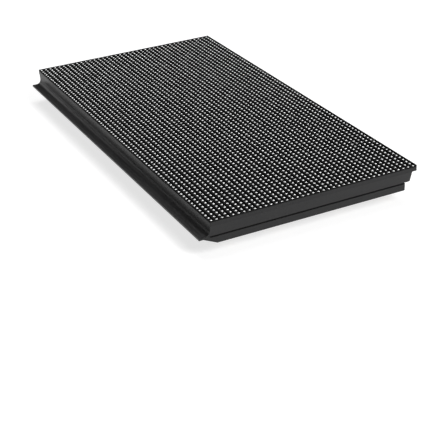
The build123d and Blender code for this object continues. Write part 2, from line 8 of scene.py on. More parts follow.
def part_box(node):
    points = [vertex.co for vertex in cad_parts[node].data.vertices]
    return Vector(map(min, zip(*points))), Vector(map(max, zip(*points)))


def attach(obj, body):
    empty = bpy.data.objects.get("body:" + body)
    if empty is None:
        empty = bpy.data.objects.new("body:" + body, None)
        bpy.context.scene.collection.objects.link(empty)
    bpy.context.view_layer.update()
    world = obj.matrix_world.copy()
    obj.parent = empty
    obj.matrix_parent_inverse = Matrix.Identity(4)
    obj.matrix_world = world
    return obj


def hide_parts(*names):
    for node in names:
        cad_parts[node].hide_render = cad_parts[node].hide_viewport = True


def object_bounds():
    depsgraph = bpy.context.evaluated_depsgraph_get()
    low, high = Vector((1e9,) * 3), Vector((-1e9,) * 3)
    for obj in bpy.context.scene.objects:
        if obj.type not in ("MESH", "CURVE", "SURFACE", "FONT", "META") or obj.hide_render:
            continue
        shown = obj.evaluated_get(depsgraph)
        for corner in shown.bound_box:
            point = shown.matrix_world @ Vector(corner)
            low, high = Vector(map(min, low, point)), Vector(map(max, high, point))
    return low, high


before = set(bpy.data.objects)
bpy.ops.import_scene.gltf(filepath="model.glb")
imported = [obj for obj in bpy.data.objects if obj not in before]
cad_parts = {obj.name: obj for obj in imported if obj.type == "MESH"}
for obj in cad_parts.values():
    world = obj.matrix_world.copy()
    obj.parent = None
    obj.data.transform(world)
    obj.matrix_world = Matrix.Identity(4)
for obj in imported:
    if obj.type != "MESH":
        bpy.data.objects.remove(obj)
cad_low, cad_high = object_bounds()

MM = 0.001

# Lamp lattice and the heights of the layers, as on the solids
PITCH = 4.0 * MM
LONG, SHORT = 80, 40
LAMPS = LONG * SHORT
HALF_LENGTH, HALF_WIDTH = 160.0 * MM, 80.0 * MM
SKIRT_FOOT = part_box("front_mask")[0][2]
LOUVRE_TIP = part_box("front_mask")[1][2]
BOARD_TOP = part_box("lamp_board")[1][2]
WEB_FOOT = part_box("lamp_potting")[1][2]
WEB_TOP = WEB_FOOT + 0.8 * MM
LAMP_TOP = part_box("lamp_rows")[1][2]
SKIRT_WALL = 0.7 * MM

# Plan positions of the screw posts and of the inserts
POSTS = [(x * PITCH, y * PITCH) for x in (-17, 17) for y in (-31, -6, 6, 31)]
POSTS += [(x * PITCH, y * PITCH) for x in (-6, 6) for y in (-35, 35)]
POSTS += [(x * PITCH, y * PITCH) for x in (-5, 5) for y in (-11, 11)]
INSERTS = [(x * MM, y * MM) for y in (-150, 150) for x in (-62.5, -24, 24, 62.5)]
INSERTS += [(-62.5 * MM, 0), (62.5 * MM, 0)]

# Cells per metre of the grid on which points are welded: all that fall in one cell become one
WELD_GRID = 1e7
# Edges of a smooth piece that fold by more than this stay sharp
SHARP_FOLD = math.radians(40)

rng = np.random.default_rng(41)


# Shapes

class Shell:
    """Collects vertex and face arrays of one piece and turns them into a mesh."""

    def __init__(self):
        self.points = []
        self.quads = []
        self.triangles = []
        self.count = 0

    def add(self, points, quads=(), triangles=()):
        """Appends points with their faces, whose numbers count from this group's first point."""
        points = np.asarray(points, float).reshape(-1, 3)
        if len(quads):
            self.quads.append(np.asarray(quads, int).reshape(-1, 4) + self.count)
        if len(triangles):
            self.triangles.append(np.asarray(triangles, int).reshape(-1, 3) + self.count)
        self.points.append(points)
        self.count += len(points)

    def mesh(self, name):
        """Welds points that fall in the same cell of the grid, turns quads that have lost a side into
        triangles, and writes it all into one mesh with foreach_set."""
        points = np.concatenate(self.points)
        quads = np.concatenate(self.quads) if self.quads else np.zeros((0, 4), int)
        triangles = np.concatenate(self.triangles) if self.triangles else np.zeros((0, 3), int)
        grid = np.round(points * WELD_GRID).astype(np.int64)
        _, first, renumbered = np.unique(grid, axis=0, return_index=True, return_inverse=True)
        renumbered = renumbered.ravel()
        points, quads, triangles = points[first], renumbered[quads], renumbered[triangles]
        doubled = quads == np.roll(quads, -1, axis=1)
        short = doubled.sum(axis=1) == 1
        triangles = np.concatenate([triangles, quads[short][~doubled[short]].reshape(-1, 3)])
        quads = quads[~doubled.any(axis=1)]
        mesh = bpy.data.meshes.new(name)
        mesh.vertices.add(len(points))
        mesh.vertices.foreach_set("co", points.ravel())
        loops = np.concatenate([quads.ravel(), triangles.ravel()])
        sizes = np.concatenate([np.full(len(quads), 4), np.full(len(triangles), 3)])
        mesh.loops.add(len(loops))
        mesh.loops.foreach_set("vertex_index", loops)
        mesh.polygons.add(len(sizes))
        mesh.polygons.foreach_set("loop_start", np.concatenate([[0], np.cumsum(sizes)[:-1]]))
        mesh.update(calc_edges=True)
        mesh.validate()
        return mesh


def place(name, shell, material, node=None, smooth=False):
    """Makes the object of a piece, gives it its material and seats it on the frame, in a node's place
    where one is named."""
    mesh = shell.mesh(name)
    piece = bpy.data.objects.new(name, mesh)
    bpy.context.scene.collection.objects.link(piece)
    mesh.materials.append(material)
    mesh.polygons.foreach_set("use_smooth", np.full(len(mesh.polygons), smooth))
    if smooth:
        mesh.set_sharp_from_angle(angle=SHARP_FOLD)
    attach(piece, "root")
    if node is not None:
        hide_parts(node)


def repeat(points, centres):
    """The same points round every centre: each copy is the points plus its centre."""
    return (centres[:, None, :] + points[None, :, :]).reshape(-1, 3)


def repeat_faces(faces, copies, stride):
    """The same faces for every copy: each copy's numbers are raised by its own first point."""
    faces = np.asarray(faces, int)
    return (np.arange(copies)[:, None, None] * stride + faces[None]).reshape(-1, faces.shape[1])


def ring_quads(first, second, count):
    """Quads between two rings of count points, numbered from first and from second. They face outward
    where the points run counter-clockwise from above and the second ring is the upper one."""
    k = np.arange(count)
    n = (k + 1) % count
    return np.stack([first + k, first + n, second + n, second + k], axis=1)


def box_quads():
    """The six faces of a block whose corners are two squares, the lower one first."""
    return np.concatenate([[(3, 2, 1, 0)], ring_quads(0, 4, 4), [(4, 5, 6, 7)]])


def circle(radius, z, angle):
    """Points at the given angles on a circle round the Z axis at height z."""
    return np.column_stack([radius * np.cos(angle), radius * np.sin(angle), np.full(len(angle), z)])


def on_plan(spots):
    """Spots given as x and y, set at height 0."""
    return np.array([(x, y, 0.0) for x, y in spots])


def lamp_centres():
    """All lamp centres at height 0: half a pitch in from the edges, then one pitch apart both ways."""
    x = (np.arange(SHORT) + 0.5) * PITCH - HALF_WIDTH
    y = (np.arange(LONG) + 0.5) * PITCH - HALF_LENGTH
    grid_x, grid_y = np.meshgrid(x, y, indexing="ij")
    return np.stack([grid_x.ravel(), grid_y.ravel(), np.zeros(grid_x.size)], axis=1)


def square(half_x, half_y, z):
    """Four corners of a rectangle at height z, counter-clockwise from above."""
    signs = ((-1, -1), (1, -1), (1, 1), (-1, 1))
    return np.array([(half_x * x, half_y * y, z) for x, y in signs])


def pierced_plate(shell, half_x, half_y, low, high, bevel, lift=0.0):
    """A plate over the whole lattice with one rectangular window in each cell, ending inside the skirt.
    Each cell is five square rings: outer top, window top, window edge, window foot and outer foot. The
    window top stands higher than the outer top by lift, and the bevel leads from it down and in to the
    window edge."""
    cell = PITCH / 2
    rings = [
        square(cell, cell, high),
        square(half_x + bevel, half_y + bevel, high + lift),
        square(half_x, half_y, high + lift - bevel),
        square(half_x, half_y, low),
        square(cell, cell, low),
    ]
    corners = 4 * len(rings)
    faces = np.concatenate([ring_quads(first, first + 4, 4) for first in range(0, corners - 4, 4)])
    points = repeat(np.concatenate(rings), lamp_centres())
    edge = np.array([HALF_WIDTH, HALF_LENGTH]) - SKIRT_WALL / 2
    points[:, :2] = np.clip(points[:, :2], -edge, edge)
    # Walls between the outer rings, kept only where all four corners lie on one edge of the plate
    walls = repeat_faces(ring_quads(corners - 4, 0, 4), LAMPS, corners)
    on_edge = np.isclose(np.abs(points[:, :2]), edge)
    walls = walls[on_edge[walls].all(axis=1).any(axis=1)]
    shell.add(points, quads=np.concatenate([repeat_faces(faces, LAMPS, corners), walls]))


def bar(shell, sections):
    """A bar along Y through sections in rising order of y: each is its y with a profile of x and z, and
    a fan closes each end."""
    count, last = len(sections[0][1]), len(sections) - 1
    points = []
    for y, profile in sections:
        points.append(np.column_stack([profile[:, 0], np.full(count, y), profile[:, 1]]))
    sides = [ring_quads(k * count, (k + 1) * count, count)[:, ::-1] for k in range(last)]
    fan = np.array([(0, k, k + 1) for k in range(1, count - 1)])
    shell.add(
        np.concatenate(points),
        quads=np.concatenate(sides),
        triangles=np.concatenate([fan, fan[:, ::-1] + last * count]),
    )


def rounded_outline(half_x, half_y, radius, steps):
    """A rectangle with quarter circles of that radius at its corners, counter-clockwise."""
    turn = np.linspace(0, math.pi / 2, steps + 1)
    corners = [(half_x, half_y, 0), (-half_x, half_y, 1), (-half_x, -half_y, 2), (half_x, -half_y, 3)]
    parts = []
    for x, y, quarter in corners:
        angle = turn + quarter * math.pi / 2
        centre = np.array([x - math.copysign(radius, x), y - math.copysign(radius, y)])
        parts.append(centre + radius * np.column_stack([np.cos(angle), np.sin(angle)]))
    return np.concatenate(parts)


def walled_rim(shell, outlines):
    """A wall that steps through the outlines in turn: each is a plan outline with its height, one for
    all its points or one for each, and the last outline closes back on the first."""
    count = len(outlines[0][0])
    points = [np.column_stack([plan, np.broadcast_to(z, count)]) for plan, z in outlines]
    faces = []
    for k in range(len(outlines)):
        faces.append(ring_quads(k * count, (k + 1) % len(outlines) * count, count))
    shell.add(np.concatenate(points), quads=np.concatenate(faces))


def turned(shell, profile, centres, segments, wave=None):
    """A turned form: the profile of radius and height goes round the Z axis at each centre.
    Where wave is given, it is added to the radius as a function of height, angle and radius."""
    profile = np.asarray(profile, float)
    angle = np.arange(segments) * 2 * math.pi / segments
    radius = np.repeat(profile[:, :1], segments, axis=1)
    height = np.repeat(profile[:, 1:], segments, axis=1)
    if wave is not None:
        radius = radius + wave(height, angle[None, :], radius)
    points = np.stack([radius * np.cos(angle), radius * np.sin(angle), height], axis=2).reshape(-1, 3)
    starts = np.arange(len(profile) - 1) * segments
    faces = np.concatenate([ring_quads(first, first + segments, segments) for first in starts])
    spots = on_plan(centres)
    shell.add(repeat(points, spots), quads=repeat_faces(faces, len(spots), len(points)))


# Materials

def new_material(name):
    """A material with its node tree, its Principled shader and its Object coordinates."""
    material = bpy.data.materials.new(name)
    material.use_nodes = True
    nodes = material.node_tree.nodes
    coordinates = nodes.new("ShaderNodeTexCoord")
    return material, material.node_tree, nodes["Principled BSDF"], coordinates.outputs["Object"]


def noise(tree, vector, scale, detail=3.0, roughness=0.55, stretch=None):
    """Noise of that scale per metre, stretched along an axis where stretch is given."""
    if stretch is not None:
        mapping = tree.nodes.new("ShaderNodeMapping")
        mapping.inputs["Scale"].default_value = stretch
        tree.links.new(vector, mapping.inputs["Vector"])
        vector = mapping.outputs["Vector"]
    node = tree.nodes.new("ShaderNodeTexNoise")
    node.inputs["Scale"].default_value = scale
    node.inputs["Detail"].default_value = detail
    node.inputs["Roughness"].default_value = roughness
    tree.links.new(vector, node.inputs["Vector"])
    return node.outputs["Fac"]


def ramp(tree, value, low, high, low_colour, high_colour):
    """A colour that goes from one to the other as value goes from low to high."""
    node = tree.nodes.new("ShaderNodeValToRGB")
    node.color_ramp.elements[0].position = low
    node.color_ramp.elements[1].position = high
    node.color_ramp.elements[0].color = (*low_colour, 1)
    node.color_ramp.elements[1].color = (*high_colour, 1)
    tree.links.new(value, node.inputs["Fac"])
    return node.outputs["Color"]


def map_range(tree, value, source, target):
    """value carried from the source range over to the target range, and held at its ends."""
    node = tree.nodes.new("ShaderNodeMapRange")
    node.inputs["From Min"].default_value, node.inputs["From Max"].default_value = source
    node.inputs["To Min"].default_value, node.inputs["To Max"].default_value = target
    tree.links.new(value, node.inputs["Value"])
    return node.outputs["Result"]


def bump(tree, height, shader, depth, strength):
    """Relief of that depth in metres from height."""
    node = tree.nodes.new("ShaderNodeBump")
    node.inputs["Strength"].default_value = strength
    node.inputs["Distance"].default_value = depth
    tree.links.new(height, node.inputs["Height"])
    tree.links.new(node.outputs["Normal"], shader.inputs["Normal"])


# Noise keeps mostly to this range, which is spread over a material's range of roughness
NOISE_RANGE = (0.3, 0.7)


def moulded(name, dark, light, gloss, grain=2600.0, depth=0.00006, specular=0.5):
    """Moulded plastic: a spark-eroded grain, faint flow marks along the long side and uneven gloss.
    gloss is the lowest and the highest roughness, grain the scale of its relief and depth its depth."""
    material, tree, shader, place_on = new_material(name)
    flow = noise(tree, place_on, 26.0, 4.0, 0.6, stretch=(1.0, 0.22, 1.0))
    grain_height = noise(tree, place_on, grain, 2.0, 0.7)
    tree.links.new(ramp(tree, flow, 0.3, 0.72, dark, light), shader.inputs["Base Color"])
    tree.links.new(map_range(tree, flow, NOISE_RANGE, gloss), shader.inputs["Roughness"])
    shader.inputs["Specular IOR Level"].default_value = specular
    bump(tree, grain_height, shader, depth, 0.6)
    return material


def metal(name, dark, light, gloss):
    """Turned or plated metal: fine cloudy tarnish and uneven gloss."""
    material, tree, shader, place_on = new_material(name)
    cloud = noise(tree, place_on, 900.0, 3.0, 0.6)
    shader.inputs["Metallic"].default_value = 1.0
    tree.links.new(ramp(tree, cloud, 0.3, 0.75, dark, light), shader.inputs["Base Color"])
    tree.links.new(map_range(tree, cloud, NOISE_RANGE, gloss), shader.inputs["Roughness"])
    bump(tree, noise(tree, place_on, 5200.0, 2.0), shader, 0.00001, 0.4)
    return material


def solder_mask(name):
    """Black solder mask over copper tracks: a faint grid of raised tracks under an even gloss."""
    material, tree, shader, place_on = new_material(name)
    tracks = tree.nodes.new("ShaderNodeTexBrick")
    tracks.inputs["Scale"].default_value = 400.0
    tracks.inputs["Mortar Size"].default_value = 0.03
    tree.links.new(place_on, tracks.inputs["Vector"])
    cloud = noise(tree, place_on, 90.0)
    colour = ramp(tree, cloud, *NOISE_RANGE, (0.010, 0.013, 0.012), (0.018, 0.023, 0.020))
    tree.links.new(colour, shader.inputs["Base Color"])
    shader.inputs["Roughness"].default_value = 0.3
    bump(tree, tracks.outputs["Fac"], shader, 0.00004, 0.5)
    return material


def lamp_resin(name):
    """Clear casting resin over the dies, slightly milky."""
    material, tree, shader, place_on = new_material(name)
    cloud = noise(tree, place_on, 300.0)
    colour = ramp(tree, cloud, *NOISE_RANGE, (0.90, 0.91, 0.91), (0.96, 0.97, 0.96))
    tree.links.new(colour, shader.inputs["Base Color"])
    shader.inputs["Roughness"].default_value = 0.22
    shader.inputs["Alpha"].default_value = 0.92
    return material


CHARCOAL = (0.012, 0.012, 0.0125), (0.019, 0.019, 0.0195)

face_black = moulded(
    "mask_face_matt_black", (0.005, 0.005, 0.0052), (0.009, 0.009, 0.0092), (0.8, 0.92),
    grain=3000.0, depth=0.00004, specular=0.15,
)
skirt_plastic = moulded("mask_skirt_charcoal", *CHARCOAL, (0.32, 0.44), depth=0.00004, specular=0.3)
shell_plastic = moulded("shell_plastic_charcoal", *CHARCOAL, (0.32, 0.46), depth=0.00005, specular=0.3)
cover_plastic = moulded(
    "cover_plastic_charcoal", (0.032, 0.032, 0.033), (0.043, 0.043, 0.044), (0.42, 0.56)
)
header_plastic = moulded(
    "header_plastic_black", (0.011, 0.011, 0.012), (0.018, 0.018, 0.019), (0.35, 0.5)
)
socket_plastic = moulded("socket_plastic_white", (0.66, 0.64, 0.58), (0.74, 0.72, 0.66), (0.35, 0.5))
gasket_rubber = moulded(
    "gasket_rubber_black", (0.012, 0.012, 0.012), (0.020, 0.020, 0.020), (0.7, 0.85), grain=1500.0
)
potting_black = moulded(
    "potting_black", (0.006, 0.006, 0.006), (0.010, 0.010, 0.010), (0.5, 0.66),
    grain=700.0, depth=0.00005, specular=0.3,
)
lamp_black = moulded(
    "lamp_body_black", (0.007, 0.007, 0.008), (0.012, 0.012, 0.013), (0.6, 0.72),
    grain=1800.0, depth=0.00001, specular=0.2,
)
lamp_white = moulded(
    "lamp_cup_white", (0.86, 0.86, 0.85), (0.93, 0.93, 0.92), (0.35, 0.5), grain=1800.0, depth=0.00001
)
chip_resin = moulded(
    "chip_resin_black", (0.014, 0.014, 0.015), (0.022, 0.022, 0.023), (0.55, 0.7), grain=4200.0
)
capacitor_resin = moulded("capacitor_resin_ochre", (0.50, 0.33, 0.06), (0.60, 0.42, 0.09), (0.4, 0.55))
ceramic = moulded("ceramic_tan", (0.34, 0.25, 0.16), (0.44, 0.34, 0.23), (0.5, 0.65))
resistor_glaze = moulded("resistor_glaze", (0.02, 0.02, 0.022), (0.035, 0.035, 0.038), (0.25, 0.4))
brass = metal("insert_brass", (0.42, 0.27, 0.10), (0.74, 0.54, 0.26), (0.22, 0.38))
gold_flash = metal("pin_gold_flash", (0.62, 0.43, 0.16), (0.86, 0.66, 0.30), (0.2, 0.32))
tin = metal("pin_tin", (0.55, 0.55, 0.54), (0.72, 0.72, 0.71), (0.28, 0.42))
zinc = metal("screw_zinc", (0.30, 0.30, 0.31), (0.50, 0.50, 0.51), (0.3, 0.45))
die_metal = metal("die_gold", (0.50, 0.36, 0.12), (0.70, 0.52, 0.22), (0.25, 0.4))
board_black = solder_mask("board_solder_mask")
resin = lamp_resin("lamp_resin_clear")

NODE_FINISHES = {
    "lamp_board": board_black,
    "rear_shell": shell_plastic,
    "rear_cover": cover_plastic,
    "cover_gasket": gasket_rubber,
    "data_in_header": header_plastic,
    "data_in_pins": gold_flash,
    "data_out_header": header_plastic,
    "data_out_pins": gold_flash,
    "power_socket": socket_plastic,
    "power_pins": tin,
    "column_driver_chips": chip_resin,
    "row_switch_chips": chip_resin,
    "signal_buffer_chips": chip_resin,
    "smoothing_capacitors": capacitor_resin,
    "decoupling_capacitors": ceramic,
    "current_set_resistors": resistor_glaze,
}
for node_name, finish in NODE_FINISHES.items():
    for material_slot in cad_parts[node_name].material_slots:
        material_slot.material = finish


# Front mask

WINDOW_X, WINDOW_Y, WINDOW_BEVEL = 1.3 * MM, 1.4 * MM, 0.12 * MM
LOUVRE_BASE, LOUVRE_TIP_WIDTH, LOUVRE_ROUND = 1.4 * MM, 0.98 * MM, 0.12 * MM
LOUVRE_SINK, LOUVRE_TAPER = 0.02 * MM, 1.2 * MM
LOUVRE_END = HALF_LENGTH - SKIRT_WALL + 0.05 * MM
RIM_FOOT = WEB_TOP - 0.2 * MM
RAIL_DROP, END_DROP = 0.3 * MM, 0.35 * MM
OUTER_RADIUS, CHAMFER_RADIUS, RIDGE_RADIUS, INNER_RADIUS = 0.6 * MM, 0.5 * MM, 0.15 * MM, 0.05 * MM
CORNER_STEPS = 5
POST_BORE, POST_RADIUS, POST_SIDES = 0.85 * MM, 1.3 * MM, 20
POST_TOP = WEB_TOP - 0.1 * MM


def louvre_profile(centre, drop=0.0):
    """Cross section of one louvre: sides that lean in to a tip with its two corners taken off. The tip
    is cut level where it would stand higher than drop below the louvre tips."""
    base, tip = LOUVRE_BASE / 2, LOUVRE_TIP_WIDTH / 2
    foot, shoulder = WEB_TOP - LOUVRE_SINK, LOUVRE_TIP - LOUVRE_ROUND
    points = [(-base, foot), (base, foot), (tip, shoulder), (tip - LOUVRE_ROUND, LOUVRE_TIP)]
    points += [(-tip + LOUVRE_ROUND, LOUVRE_TIP), (-tip, shoulder)]
    profile = np.array(points) + np.array([centre, 0.0])
    profile[:, 1] = np.minimum(profile[:, 1], LOUVRE_TIP - drop)
    return profile


def inset(by, radius):
    """The outline of the face moved in by that much, with corners of that radius."""
    return rounded_outline(HALF_WIDTH - by, HALF_LENGTH - by, radius, CORNER_STEPS)


mask = Shell()
pierced_plate(mask, WINDOW_X, WINDOW_Y, WEB_FOOT, WEB_TOP, WINDOW_BEVEL)
taper = LOUVRE_END - LOUVRE_TAPER
for row in range(1, SHORT):
    x = row * PITCH - HALF_WIDTH
    whole, cut = louvre_profile(x), louvre_profile(x, END_DROP)
    bar(mask, [(-LOUVRE_END, cut), (-taper, whole), (taper, whole), (LOUVRE_END, cut)])

# The rim is a louvre along the long sides and drops to a rail along the short ones, round each corner
round_corner = np.linspace(0.0, 1.0, CORNER_STEPS + 1)
rim_top = LOUVRE_TIP - RAIL_DROP * np.concatenate([round_corner, round_corner[::-1]] * 2)
outer, inner = inset(0.0, OUTER_RADIUS), inset(SKIRT_WALL, INNER_RADIUS)
walled_rim(
    mask,
    [
        (inner, RIM_FOOT),
        (outer, RIM_FOOT),
        (outer, rim_top - LOUVRE_ROUND),
        (inset(LOUVRE_ROUND, CHAMFER_RADIUS), rim_top),
        (inset(LOUVRE_TIP_WIDTH / 2, RIDGE_RADIUS), rim_top),
        (inner, WEB_TOP),
    ],
)
place("mask_grille", mask, face_black, "front_mask")

# Below the rim the mask is a plain skirt, and its screw posts reach down through the board
skirt = Shell()
walled_rim(skirt, [(inner, SKIRT_FOOT), (outer, SKIRT_FOOT), (outer, RIM_FOOT), (inner, RIM_FOOT)])
post = [
    (POST_BORE, SKIRT_FOOT),
    (POST_RADIUS, SKIRT_FOOT),
    (POST_RADIUS, POST_TOP),
    (POST_BORE, POST_TOP),
    (POST_BORE, SKIRT_FOOT),
]
turned(skirt, post, POSTS, POST_SIDES)
place("mask_skirt", skirt, skirt_plastic, "front_mask")


# Potting, lamps, dies and resin

LAMP_HALF, LAMP_CHAMFER = 1.05 * MM, 0.1 * MM
POTTING_GAP, POTTING_DROP, POTTING_CREEP = 0.01 * MM, 0.04 * MM, 0.08 * MM
CUP_MOUTH, CUP_FLOOR, CUP_DEPTH, CUP_SIDES = 0.72 * MM, 0.58 * MM, 0.16 * MM, 12
DOME_HEIGHT, DOME_RING = 0.36 * MM, math.radians(45)
DIE_HALF, DIE_HEIGHT, DIE_SINK, DIE_SPACING = 0.06 * MM, 0.08 * MM, 0.01 * MM, 0.22 * MM
TURN_SPREAD, SHIFT_SPREAD = math.radians(1.2), 0.025 * MM

potting = Shell()
potting_hole = LAMP_HALF + POTTING_GAP
potting_top = WEB_FOOT - POTTING_DROP
pierced_plate(
    potting, potting_hole, potting_hole, BOARD_TOP, potting_top, POTTING_GAP, lift=POTTING_CREEP
)
place("potting_fill", potting, potting_black, "lamp_potting")

lamp_turn = rng.normal(0.0, TURN_SPREAD, LAMPS)
lamp_shift = rng.normal(0.0, SHIFT_SPREAD, (LAMPS, 2))


def at_lamps(points):
    """The points at every lamp, turned about its axis by lamp_turn and moved by lamp_shift."""
    centres = lamp_centres()[:, :2] + lamp_shift
    cos, sin = np.cos(lamp_turn)[:, None], np.sin(lamp_turn)[:, None]
    x = points[None, :, 0] * cos - points[None, :, 1] * sin + centres[:, :1]
    y = points[None, :, 0] * sin + points[None, :, 1] * cos + centres[:, 1:]
    return np.stack([x, y, np.broadcast_to(points[None, :, 2], x.shape)], axis=2).reshape(-1, 3)


def lamp_piece(name, material, parts, smooth=False):
    """One piece with a copy of every part at every lamp: a part is its points, quads and triangles."""
    shell = Shell()
    for points, quads, triangles in parts:
        shell.add(
            at_lamps(points),
            quads=repeat_faces(quads, LAMPS, len(points)),
            triangles=repeat_faces(triangles, LAMPS, len(points)) if len(triangles) else (),
        )
    place(name, shell, material, "lamp_rows", smooth)


# The first point of a cup's rings lies half a step past the X axis
cup_angle = (np.arange(CUP_SIDES) + 0.5) * 2 * math.pi / CUP_SIDES
cup_mouth = circle(CUP_MOUTH, LAMP_TOP, cup_angle)
between_rings = ring_quads(0, CUP_SIDES, CUP_SIDES)

# Bodies: square blocks with a taken-off top edge, open in the middle of the top
block = np.concatenate(
    [
        square(LAMP_HALF, LAMP_HALF, BOARD_TOP),
        square(LAMP_HALF, LAMP_HALF, LAMP_TOP - LAMP_CHAMFER),
        square(LAMP_HALF - LAMP_CHAMFER, LAMP_HALF - LAMP_CHAMFER, LAMP_TOP),
        cup_mouth,
    ]
)
sides = np.concatenate([[(3, 2, 1, 0)], ring_quads(0, 4, 4), ring_quads(4, 8, 4)])
# The top between its square, points 8 to 11, and the mouth, from point 12 on: at each corner a fan of
# two triangles, then two that reach the next corner. Mouth point 7 is the first one of corner 0.
top = []
for corner in range(4):
    near, far = 8 + corner, 8 + (corner + 1) % 4
    side = [12 + (corner * 3 + 7 + step) % CUP_SIDES for step in range(4)]
    top += [(near, side[1], side[0]), (near, side[2], side[1])]
    top += [(near, far, side[2]), (far, side[3], side[2])]
lamp_piece("lamp_bodies", lamp_black, [(block, sides, top)])

# Cups: white reflectors with a flat floor
cup = np.concatenate([cup_mouth, circle(CUP_FLOOR, LAMP_TOP - CUP_DEPTH, cup_angle)])
cup_floor = [(CUP_SIDES, CUP_SIDES + k, CUP_SIDES + k + 1) for k in range(1, CUP_SIDES - 1)]
lamp_piece("lamp_cups", lamp_white, [(cup, between_rings, cup_floor)])

# Resin that stands over each cup as a dome: an ellipsoid cut at its foot, at one ring and at its crown
ring_radius = math.cos(DOME_RING) * CUP_MOUTH
ring_height = LAMP_TOP + math.sin(DOME_RING) * DOME_HEIGHT
dome_ring = circle(ring_radius, ring_height, cup_angle)
dome = np.concatenate([cup_mouth, dome_ring, [(0, 0, LAMP_TOP + DOME_HEIGHT)]])
crown_point = 2 * CUP_SIDES
over = [(CUP_SIDES + k, CUP_SIDES + (k + 1) % CUP_SIDES, crown_point) for k in range(CUP_SIDES)]
under = [(0, k + 1, k) for k in range(1, CUP_SIDES - 1)]
lamp_piece("lamp_lenses", resin, [(dome, between_rings, over + under)], smooth=True)

# Three dies on each cup's floor
floor_z = LAMP_TOP - CUP_DEPTH
die = np.concatenate(
    [square(DIE_HALF, DIE_HALF, floor_z - DIE_SINK), square(DIE_HALF, DIE_HALF, floor_z + DIE_HEIGHT)]
)
row_of_three = [(die + np.array([k * DIE_SPACING, 0, 0]), box_quads(), ()) for k in (-1, 0, 1)]
lamp_piece("lamp_dies", die_metal, row_of_three)


# Brass inserts

INSERT_RADIUS, INSERT_DEPTH, INSERT_SIDES = 3.1 * MM, 7.0 * MM, 36
FLANGE_RADIUS, FLANGE_DEPTH = 3.8 * MM, 0.7 * MM
FLANGE_CHAMFER, NECK_START = 0.12 * MM, 0.75 * MM
MOUTH_RADIUS, BORE_RADIUS = 2.1 * MM, 1.65 * MM
BORE_START, BORE_END, BORE_STEP = 0.45, 6.81, 0.175
THREAD_PITCH, THREAD_DEPTH, THREAD_MEAN = 0.7 * MM, 0.32 * MM, 0.3
THREAD_START, THREAD_END, THREAD_WITHIN = 0.5 * MM, 6.6 * MM, 1.8 * MM


def thread_wave(height, angle, radius):
    """Thread: inside the bore the radius follows a triangle wave of height over pitch less the angle in
    turns, so the ridge climbs one pitch a turn."""
    phase = (height / THREAD_PITCH - angle / (2 * math.pi)) % 1.0
    tooth = 1.0 - np.abs(2.0 * phase - 1.0)
    inside = (radius < THREAD_WITHIN) & (height > THREAD_START) & (height < THREAD_END)
    return np.where(inside, THREAD_DEPTH * (tooth - THREAD_MEAN), 0.0)


insert_profile = [
    (INSERT_RADIUS, INSERT_DEPTH),
    (INSERT_RADIUS, NECK_START),
    (FLANGE_RADIUS, FLANGE_DEPTH),
    (FLANGE_RADIUS, FLANGE_CHAMFER),
    (FLANGE_RADIUS - FLANGE_CHAMFER, 0.0),
    (MOUTH_RADIUS, 0.0),
]
insert_profile += [(BORE_RADIUS, z * MM) for z in np.arange(BORE_START, BORE_END, BORE_STEP)]
insert_profile += [(BORE_RADIUS, INSERT_DEPTH), (INSERT_RADIUS, INSERT_DEPTH)]
inserts = Shell()
turned(inserts, insert_profile[::-1], INSERTS, INSERT_SIDES, thread_wave)
place("threaded_inserts", inserts, brass, "mount_inserts")


# Screws

SCREW_SEAT, SHANK_RADIUS, SHANK_END = 8.8 * MM, 0.85 * MM, 16.2 * MM
HEAD_RADIUS, HEAD_HEIGHT, CROWN_FALL = 1.9 * MM, 1.3 * MM, 0.7 * MM
HEAD_RINGS, HEAD_SIDES = 13, 48
RECESS_DEPTH, RECESS_HALF, RECESS_WALL = 0.7 * MM, 0.24 * MM, 0.08 * MM
RECESS_REACH, RECESS_RUNOUT = 1.15 * MM, 0.2 * MM

head_top = SCREW_SEAT - HEAD_HEIGHT
radius = np.linspace(0.0, 1.0, HEAD_RINGS)[:, None] * HEAD_RADIUS
angle = (np.arange(HEAD_SIDES) * 2 * math.pi / HEAD_SIDES)[None, :]
arm = np.minimum(np.abs(radius * np.sin(angle)), np.abs(radius * np.cos(angle)))
# Pan head: the crown falls away as 1 - cos of the radius. The cross is sunk to its full depth where arm,
# the distance from the nearer axis, is under its half width less the wall, and runs out at its reach.
crown = head_top + CROWN_FALL * (1 - np.cos(radius / HEAD_RADIUS * math.pi / 2))
across = np.clip((RECESS_HALF - arm) / RECESS_WALL, 0, 1)
along = np.clip((RECESS_REACH - radius) / RECESS_RUNOUT, 0, 1)
height = crown + RECESS_DEPTH * (across * along)
head = np.stack([radius * np.cos(angle), radius * np.sin(angle), height], axis=2).reshape(-1, 3)
ring_starts = np.arange(HEAD_RINGS - 1) * HEAD_SIDES
head_quads = np.concatenate([ring_quads(k, k + HEAD_SIDES, HEAD_SIDES) for k in ring_starts])
screws = Shell()
screws.add(repeat(head, on_plan(POSTS)), quads=repeat_faces(head_quads, len(POSTS), len(head)))
shank = [
    (HEAD_RADIUS, head_top + CROWN_FALL),
    (HEAD_RADIUS, SCREW_SEAT),
    (SHANK_RADIUS, SCREW_SEAT),
    (SHANK_RADIUS, SHANK_END),
    (0.0, SHANK_END),
]
turned(screws, shank, POSTS, HEAD_SIDES)
place("pan_head_screws", screws, zinc, "mask_screws")


# Ribbed rear of the lip, and webs at the two ends of the channel behind it

LIP_REAR = 4.7 * MM
RIB_FROM, RIB_TO, RIB_HALF = -87.1 * MM, -84.0 * MM, 0.5 * MM
RIB_DEPTH, RIB_SINK, RIB_TAPER = 0.2 * MM, 0.1 * MM, 0.6
RIB_COUNT = LONG - 1
